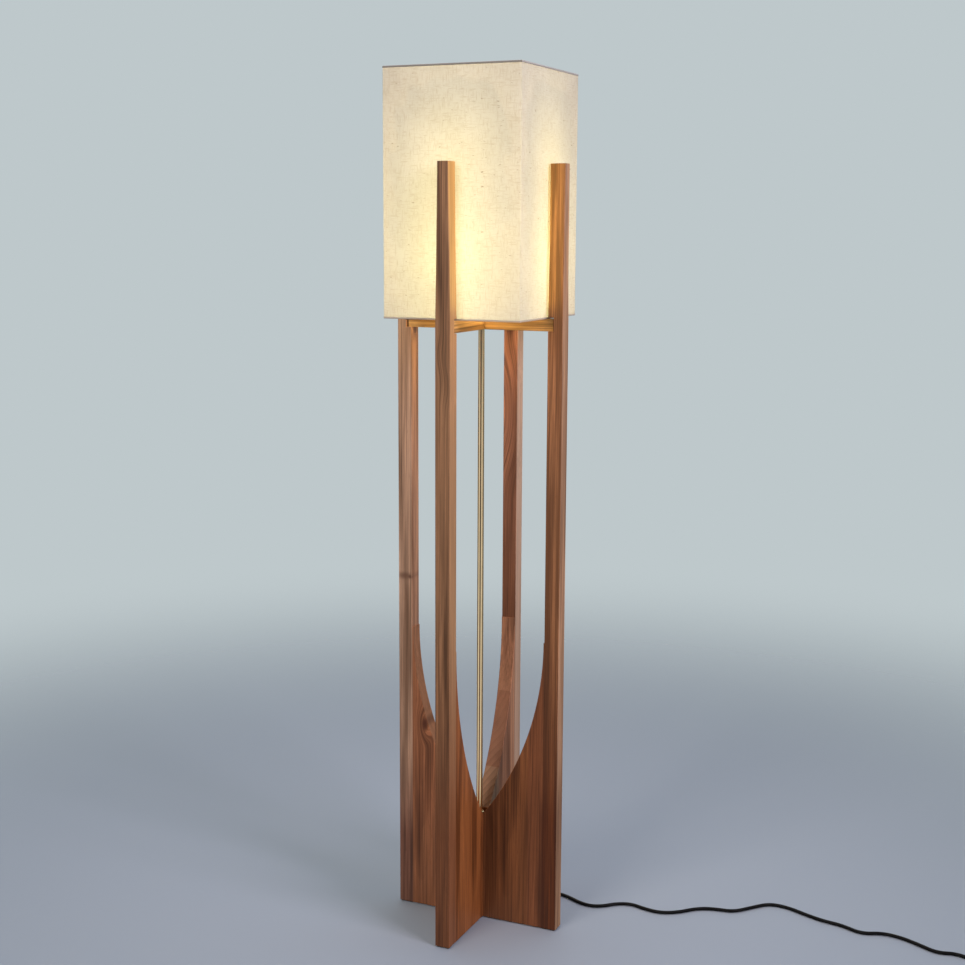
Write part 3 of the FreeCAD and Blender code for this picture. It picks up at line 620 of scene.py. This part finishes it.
def dress_fittings():
    dress(moulded("black_glass", (0.012, 0.012, 0.014), roughness=0.18), "bulb_base_insulator")
    dress(moulded("phenolic", (0.022, 0.018, 0.016), roughness=0.38), "switch_block", "switch_knob")
    dress(pressed_fibre(), "holder_sleeve")
    dress(opal_glass(), "bulb_glass")
    dress(felt(), *("felt_pad_" + leg for leg in ("right", "back", "left", "front")))
    dress(moulded("core_sheath", (0.20, 0.09, 0.04), roughness=0.45), "holder_leads")
    dress(moulded("moulded_black", (0.016, 0.016, 0.018), roughness=0.42), "cord_bushing", "plug_body")
    dress(moulded("soft_band", (0.030, 0.030, 0.032), roughness=0.60), "coil_tie")
    dress(moulded("coated_wire", (0.72, 0.70, 0.66), roughness=0.45), "shade_top_ring", "shade_bottom_ring")


# Shade

def lets_light_out(tree, shader):
    """Lets the bulb's light through to the layer outside, while the surface still looks solid."""
    clear = add(tree, "BsdfTransparent", {"Color": opaque(inside_tint)})
    path = add(tree, "LightPath").outputs["Is Shadow Ray"]
    show(tree, blended(tree, product(tree, path, inside_clearness), shader, clear))


def weave(tree, place):
    """Linen on the four sides: height of the cloth, pattern of its threads, shares of slubs and of flecks,
    and an uneven tone."""
    spots = parts(tree, place)
    around = calc(tree, "ADD", spots["x"], spots["y"])
    apart = calc(tree, "SUBTRACT", spots["x"], spots["y"])
    flat = add(tree, "CombineXYZ", {0: around, 1: spots["z"], 2: apart}).outputs[0]
    across = noise(tree, scaled(tree, flat, factors=(0.16, 1.0, 0.05)), scale=480.0, detail=3.0, rough=0.6)
    upright = noise(tree, scaled(tree, flat, factors=(1.0, 0.16, 0.05)), scale=450.0, detail=3.0, rough=0.6)
    slubs = calc(tree, "MAXIMUM", *(steps(tree, yarn, low=0.50, high=0.70) for yarn in (across, upright)))
    specks = noise(tree, scaled(tree, flat, factors=(0.45, 1.0, 0.1)), scale=260.0, detail=1.0)
    ways = []
    for direction in "XY":
        wave = add(tree, "TexWave", {
            "Vector": flat, "Scale": wave_scale(thread_gap), "Distortion": 1.5, "Detail": 1.0,
        }, wave_type="BANDS", bands_direction=direction)
        ways.append(wave.outputs["Fac"])
    threads = product(tree, *ways)
    height = calc(tree, "ADD", threads, calc(tree, "ADD", across, upright))
    return dict(height=height, threads=threads, slubs=slubs, flecks=steps(tree, specks, low=0.72, high=0.80),
                uneven=noise(tree, flat, scale=14.0, detail=3.0))


def corner_shade_share(tree):
    """1 where the linen turns a corner, where shade is painted."""
    facing = facing_parts(tree)
    turned = calc(tree, "ABSOLUTE", product(tree, facing["x"], facing["y"]))
    return steps(tree, turned, low=0.05, high=0.30)


def lap_share(tree, place):
    """1 where the linen laps over itself, on the back side."""
    spots = parts(tree, place)
    start, end = lap_ends
    past_start = steps(tree, spots["x"], start, start + lap_blend)
    before_end = steps(tree, spots["x"], end, end - lap_blend)
    on_back_side = calc(tree, "GREATER_THAN", spots["y"], 0.0)
    return product(tree, product(tree, past_start, before_end), on_back_side)


def linen():
    """Natural linen that glows where the bulb lights it from inside."""
    material, tree, shader, place = principled("linen", Roughness=0.92, Sheen_Weight=0.15)
    cloth = weave(tree, place)
    colour = mottled(tree, cloth["uneven"], (0.697, 0.665, 0.590), (0.740, 0.710, 0.645))
    colour = stained(tree, colour, cloth["slubs"], strength=0.44, stain=(0.508, 0.426, 0.325))
    colour = stained(tree, colour, cloth["flecks"], strength=0.6, stain=(0.30, 0.21, 0.13))
    threads = ramp(tree, cloth["threads"], [(0.0, grey(0.7)), (1.0, grey(1.1))])
    colour = mixed(tree, thread_strength, colour, threads, "MULTIPLY")
    # Painted shade along each corner, and over the lap, where two layers also let less of the bulb's light
    # through
    colour = stained(tree, colour, corner_shade_share(tree), corner_painted_shade, black)
    colour = stained(tree, colour, lap_share(tree, place), lap_shade, black)
    feed(tree, shader, Base_Color=filtered(tree, colour, linen_outside))
    bumped(tree, shader, cloth["height"], strength=0.25, distance=0.0005)
    show(tree, blended(tree, linen_clearness, shader, add(tree, "BsdfTranslucent", {"Color": colour})))
    return material


def linen_back():
    """The inner face of the linen."""
    material, tree, shader, place = principled("linen_back", Roughness=0.9)
    cloth = weave(tree, place)
    colour = stained(tree, (0.78, 0.72, 0.62), cloth["slubs"], strength=0.4, stain=(0.58, 0.48, 0.36))
    feed(tree, shader, Base_Color=colour)
    bumped(tree, shader, cloth["height"], strength=0.2, distance=0.0005)
    lets_light_out(tree, shader)
    return material


def shade_backing():
    """Translucent plastic that stiffens the linen from inside."""
    material, tree, shader, place = principled("shade_backing", Roughness=0.5)
    cloud = noise(tree, place, scale=30.0, detail=3.0)
    feed(tree, shader, Base_Color=mottled(tree, cloud, (0.47, 0.45, 0.41), (0.52, 0.50, 0.46)))
    lets_light_out(tree, shader)
    return material


def hem_tape(name, tone, side):
    """Woven tape; side is painted light on the faces that look along +X."""
    material, tree, shader, place = principled(name, Roughness=0.9)
    cloth = weave(tree, place)
    colour = mixed(tree, cloth["threads"], tinted(tone, grey(0.82)), tinted(tone, grey(1.18)))
    lit_side_share = steps(tree, facing_parts(tree)["x"], low=0.6, high=0.8)
    feed(tree, shader, Base_Color=mixed(tree, lit_side_share, colour, filtered(tree, colour, side)))
    bumped(tree, shader, cloth["height"], strength=0.3, distance=0.0005)
    return material


def square_loop(half, corner):
    """Points round a square with rounded corners, with the outward direction at each."""
    loop = []
    straight = half - corner
    for quarter in range(4):
        turn = Matrix.Rotation(quarter * math.pi / 2, 3, "Z")
        for step in range(side_steps):
            share = step / side_steps
            loop.append((turn @ Vector((half, straight * (2 * share - 1), 0)), turn @ Vector((1, 0, 0))))
        for step in range(corner_steps):
            angle = math.pi / 2 * step / corner_steps
            out = Vector((math.cos(angle), math.sin(angle), 0))
            loop.append((turn @ (Vector((straight, straight, 0)) + out * corner), turn @ out))
    return loop


def mesh_piece(name, mesh, *materials):
    """A smooth object from a finished mesh."""
    made = bpy.data.meshes.new(name)
    mesh.to_mesh(made)
    mesh.free()
    for material in materials:
        made.materials.append(material)
    made.polygons.foreach_set("use_smooth", [True] * len(made.polygons))
    piece = bpy.data.objects.new(name, made)
    bpy.context.scene.collection.objects.link(piece)
    return piece


def swept(name, sections, closed, *materials):
    """A skin through sections, each a list of points; the last joins the first if closed."""
    mesh = bmesh.new()
    rings = [[mesh.verts.new(point) for point in section] for section in sections]
    count = len(rings[0])
    for first, second in zip(rings, rings[1:] + ([rings[0]] if closed else [])):
        for i in range(count):
            j = (i + 1) % count
            mesh.faces.new((first[i], first[j], second[j], second[i]))
    bmesh.ops.recalc_face_normals(mesh, faces=mesh.faces)
    return mesh_piece(name, mesh, *materials)


def ripple(*point):
    """How far slight waves in the linen draw it in at a point."""
    first, second = (math.sin(sum(rate * part for rate, part in zip(rates, point))) for rates in ripple_waves)
    return fabric_ripple * first * second


def shade_linen(material, back):
    """The stretched linen: four sides, slightly drawn in between the corners, with an upright lap."""
    low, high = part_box("shade_fabric")
    half = high.x
    sections = []
    for row in range(fabric_rows + 1):
        z = low.z + (high.z - low.z) * row / fabric_rows
        edge = math.sin(math.pi * row / fabric_rows)
        section = []
        for point, out in square_loop(half, shade_corner):
            reach = max(0.0, 1 - (min(abs(point.x), abs(point.y)) / (half - shade_corner)) ** 2)
            drawn_in = fabric_bow * edge * reach + ripple(point.x, point.y, z) * edge
            on_back_side = out.y > 0.9
            if on_back_side and lap_ends[0] < point.x < lap_ends[1]:
                drawn_in -= seam_rise
            section.append(point - out * drawn_in + Vector((0, 0, z)))
        sections.append(section)
    piece = swept("shade_linen", sections, False, material, back)
    solid = piece.modifiers.new("thickness", "SOLIDIFY")
    solid.thickness = fabric_thickness
    solid.offset = -1.0
    solid.material_offset = 1
    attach(piece, "shade")
    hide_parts("shade_fabric")
    return piece


def hem_profile(thickness):
    """The tape's section as (outward, away from the edge): a rolled lip, turned over the linen's edge."""
    lip = []
    for step in range(bead_steps + 1):
        angle = math.pi * step / bead_steps
        lip.append((-hem_bead + hem_bead * math.cos(angle), hem_bead - hem_bead * math.sin(angle)))
    back = -2 * hem_bead
    inside = [(back + thickness, hem_turn), (back + thickness, hem_inside), (-thickness, hem_inside)]
    return [(0.0, hem_turn), *lip, (back, hem_turn), *inside, (-thickness, hem_turn)]


def shade_hem(name, node, bottom, material):
    """Tape over the bottom or the top edge of the linen."""
    low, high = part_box(node)
    half = high.x
    edge, inward = (low.z, 1) if bottom else (high.z, -1)
    profile = hem_profile(thickness=high.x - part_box("shade_fabric")[1].x)
    sections = []
    for point, out in square_loop(half, shade_corner):
        sections.append([point + out * across + Vector((0, 0, edge + inward * up)) for across, up in profile])
    piece = swept(name, sections, True, material)
    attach(piece, "shade")
    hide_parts(node)
    return piece


def dress_shade():
    """Dresses the shade and gives its new pieces."""
    cloth = linen()
    # The bottom tape's lighter tone than the top one's is painted light from the bulb; side is painted light
    # on +X faces
    top_tape = hem_tape("top_hem_tape", (0.245, 0.235, 0.228), side=grey(1.8))
    bottom_tape = hem_tape("bottom_hem_tape", (0.42, 0.375, 0.325), side=grey(1.15))
    dress(shade_backing(), "shade_liner")
    sheet = shade_linen(cloth, linen_back())
    hems = [shade_hem("shade_hem_top", "shade_top_trim", False, top_tape),
            shade_hem("shade_hem_bottom", "shade_bottom_trim", True, bottom_tape)]
    return [sheet, *hems]


# Mains lead

def coil_point(angle):
    """A point of the coil: in on the floor layer, up, then out on the next layer."""
    angle_in = 2 * math.pi * coil_turns_in
    angle_up = angle_in + 2 * math.pi * coil_turns_up
    inner = coil_radius - coil_pitch * coil_turns_in
    if angle < angle_in:
        radius = coil_radius - coil_pitch * angle / (2 * math.pi)
        height = coil_layer
    elif angle < angle_up:
        share = (angle - angle_in) / (angle_up - angle_in)
        radius = inner - coil_pitch / 2 * share * (1 - share)
        height = coil_layer + coil_pitch * share ** 2 * (3 - 2 * share)
    else:
        radius = inner + coil_pitch * (angle - angle_up) / (2 * math.pi)
        height = coil_layer + coil_pitch
    place = angle - math.pi / 2
    x, y = coil_middle
    return Vector((x + radius * math.cos(place), y + radius * math.sin(place), height))


def coil_heading(angle):
    return (coil_point(angle + heading_step) - coil_point(angle - heading_step)).normalized()


def cord_points():
    """Route points of the whole lead: the free stretch, the coil and its tail."""
    last = 2 * math.pi * (coil_turns_in + coil_turns_up + coil_turns_out)
    start = coil_point(0) - coil_heading(0) * coil_lead_in
    points = [Vector(point) for point in cord_route]
    points += [start - coil_heading(0) * coil_run_up, start]
    count = round(last / (2 * math.pi) * coil_steps)
    swell = 1 / math.cos(math.pi / coil_steps)
    middle = Vector((*coil_middle, 0))
    for step in range(count + 1):
        point = coil_point(last * step / count)
        flat = Vector((point.x, point.y, 0)) - middle
        points.append(middle + flat * swell + Vector((0, 0, point.z)))
    return points + [coil_point(last) + coil_heading(last) * coil_tail]


def make_cord():
    """The lead as one smooth curve; the stretch inside the lamp has its sheath too."""
    sheath = moulded("lead_sheath", (0.002, 0.002, 0.003), roughness=0.45, shine=0.1)
    dress(sheath, "inner_lead")
    curve = bpy.data.curves.new("mains_lead", "CURVE")
    curve.dimensions = "3D"
    curve.bevel_depth = cord_radius
    curve.bevel_resolution = 5
    curve.resolution_u = 10
    curve.use_fill_caps = True
    curve.materials.append(sheath)
    spline = curve.splines.new("NURBS")
    points = cord_points()
    spline.points.add(len(points) - 1)
    for made, point in zip(spline.points, points):
        made.co = (*point, 1.0)
    spline.order_u = 3
    spline.use_endpoint_u = True
    piece = bpy.data.objects.new("mains_lead", curve)
    bpy.context.scene.collection.objects.link(piece)
    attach(piece, "lamp_frame")
    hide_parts("cord", "cord_coil")
    return piece


# Studio

def compass(degrees, distance=1.0):
    """The x and y of a place round the lamp; 0 degrees is in front of it, and 90 to the right."""
    azimuth = math.radians(degrees)
    return distance * math.sin(azimuth), -distance * math.cos(azimuth)


def make_camera():
    data = bpy.data.cameras.new("camera")
    data.sensor_width = sensor_width
    data.lens = focal_pixels / picture_side * sensor_width
    camera = bpy.data.objects.new("camera", data)
    bpy.context.scene.collection.objects.link(camera)
    camera.location = (*compass(camera_azimuth, camera_distance), camera_height)
    turned = Matrix.Rotation(math.radians(camera_azimuth + camera_yaw), 3, "Z")
    tipped = Matrix.Rotation(math.radians(90 - camera_pitch), 3, "X")
    rolled = Matrix.Rotation(math.radians(camera_roll), 3, "Z")
    camera.rotation_euler = (turned @ tipped @ rolled).to_euler()
    bpy.context.scene.camera = camera


def area_light(name, place, aim, size, spread, power, colour):
    data = bpy.data.lights.new(name, "AREA")
    data.shape = "RECTANGLE"
    data.size, data.size_y = size
    data.spread = math.radians(spread)
    data.energy = power
    data.color = colour
    light = bpy.data.objects.new(name, data)
    light.location = place
    light.rotation_euler = (Vector(aim) - Vector(place)).to_track_quat("-Z", "Y").to_euler()
    light.visible_camera = False
    bpy.context.scene.collection.objects.link(light)
    return light


def ball_light(name, height, radius, power):
    """A round light on the lamp's axis, with the bulb's colour."""
    data = bpy.data.lights.new(name, "POINT")
    data.energy = power
    data.color = bulb_light_colour
    data.shadow_soft_size = radius
    data.use_soft_falloff = False
    data.cycles.use_multiple_importance_sampling = False   # only shadow rays pass the shade's inner layers
    light = bpy.data.objects.new(name, data)
    light.location = (0, 0, height)
    bpy.context.scene.collection.objects.link(light)
    return light


def nodes_in(*groups):
    """The CAD nodes whose names begin with one of the groups' names."""
    starts = tuple(group + "_" for group in groups)
    return [node for name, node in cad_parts.items() if name.startswith(starts)]


def light_only(lights, objects):
    """Lets these lights fall on these objects alone."""
    group = bpy.data.collections.new("lit")
    for lit in objects:
        group.objects.link(lit)
    for light in lights:
        light.light_linking.receiver_collection = group


def light_skips(light, objects):
    """Lets a light fall on everything but these objects."""
    group = bpy.data.collections.new("skipped")
    for skipped in objects:
        group.objects.link(skipped)
    for member in group.collection_objects:
        member.light_linking.link_state = "EXCLUDE"
    light.light_linking.receiver_collection = group


def bulb_lights(shade):
    """The bulb's light from a sphere just outside its globe, and what the shade throws back inside."""
    low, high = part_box("bulb_glass")
    radius = (high.x - low.x) / 2
    bulb = ball_light("bulb_light", high.z - radius, radius + bulb_light_gap, bulb_light_power)
    light_skips(bulb, nodes_in("bulb"))
    spill = ball_light("spill_light", spill_height, scatter_radius, spill_power)
    light_skips(spill, nodes_in("holder", "switch", "bulb"))
    light_only([ball_light("post_light", spill_height, scatter_radius, spill_on_posts)], nodes_in("post"))
    scatter = []
    for height, power in scatter_powers.items():
        scatter.append(ball_light("scatter_light", height, scatter_radius, power))
    light_only(scatter, shade + nodes_in("brace_bar"))


def glow_lights():
    """The light that each side of the shade throws on the posts."""
    lights = []
    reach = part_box("shade_fabric")[1].x + glow_gap
    for side, (x, y) in glow_ways.items():
        place = (reach * x, reach * y, glow_height)
        aim = (2 * reach * x, 2 * reach * y, glow_height)
        power = glow_powers[side]
        lights.append(area_light("glow_" + side, place, aim, glow_size, glow_spread, power, glow_colour))
    light_only(lights, nodes_in("post"))


def studio_world():
    """A pale backdrop on all sides. Light and reflections come from a room: pale behind the lamp, darker in
    front, with a pale floor in front and a dark doorway."""
    world = bpy.data.worlds.new("studio")
    world.use_nodes = True
    tree = world.node_tree
    tree.nodes.clear()
    heading = add(tree, "TexCoord").outputs["Generated"]
    facing = measure(tree, "DOT_PRODUCT", heading, (*compass(camera_azimuth, -1.0), 0.0))
    walls = mixed(tree, steps(tree, facing, *wall_turn), room_colour, backdrop_colour)
    below = ramp(tree, steps(tree, facing, -1.0, 1.0),
                 [(floor_turn[0], room_floor_colour), (floor_turn[1], room_skirt_colour),
                  (skirt_turn[0], room_skirt_colour), (skirt_turn[1], backdrop_colour)])
    colour = mixed(tree, steps(tree, parts(tree, heading)["z"], *horizon_turn), below, walls)
    doorway = measure(tree, "DOT_PRODUCT", heading, (*compass(doorway_azimuth), 0.0))
    colour = mixed(tree, steps(tree, doorway, *doorway_turn), colour, room_colour)
    seen = add(tree, "LightPath").outputs["Is Camera Ray"]
    light = add(tree, "Background", {"Color": mixed(tree, seen, colour, backdrop_colour), "Strength": 1.0})
    add(tree, "OutputWorld", {"Surface": light.outputs[0]})
    bpy.context.scene.world = world


def studio_floor():
    """A plain pale floor that fades out round the lamp."""
    mesh = bmesh.new()
    bmesh.ops.create_circle(mesh, cap_ends=True, segments=floor_sides, radius=floor_radius,
                            matrix=Matrix.Translation((0, 0, -floor_drop)))
    material, tree, shader, place = principled("floor", Roughness=0.6, Specular_IOR_Level=0.25,
                                               Base_Color=opaque(floor_colour))
    piece = mesh_piece("floor", mesh, material)
    faded = steps(tree, measure(tree, "LENGTH", place), *floor_fade, "SMOOTHERSTEP")
    show(tree, blended(tree, faded, shader, add(tree, "BsdfTransparent")))
    piece.visible_glossy = False


def make_studio(shade, cord):
    studio_world()
    studio_floor()
    for name, settings in soft_lights.items():
        area_light(name, *settings)
    filled = [*nodes_in("post"), *nodes_in("base_board"), *shade, cord]
    light_only([area_light("fill_light", *fill_light)], filled)
    bulb_lights(shade)
    glow_lights()
    bpy.context.scene.view_settings.view_transform = "Standard"


make_camera()
lead = make_cord()
dress_posts()
dress_boards()
dress_braces()
dress_metals()
dress_fittings()
shade_pieces = dress_shade()
make_studio(shade_pieces, lead)
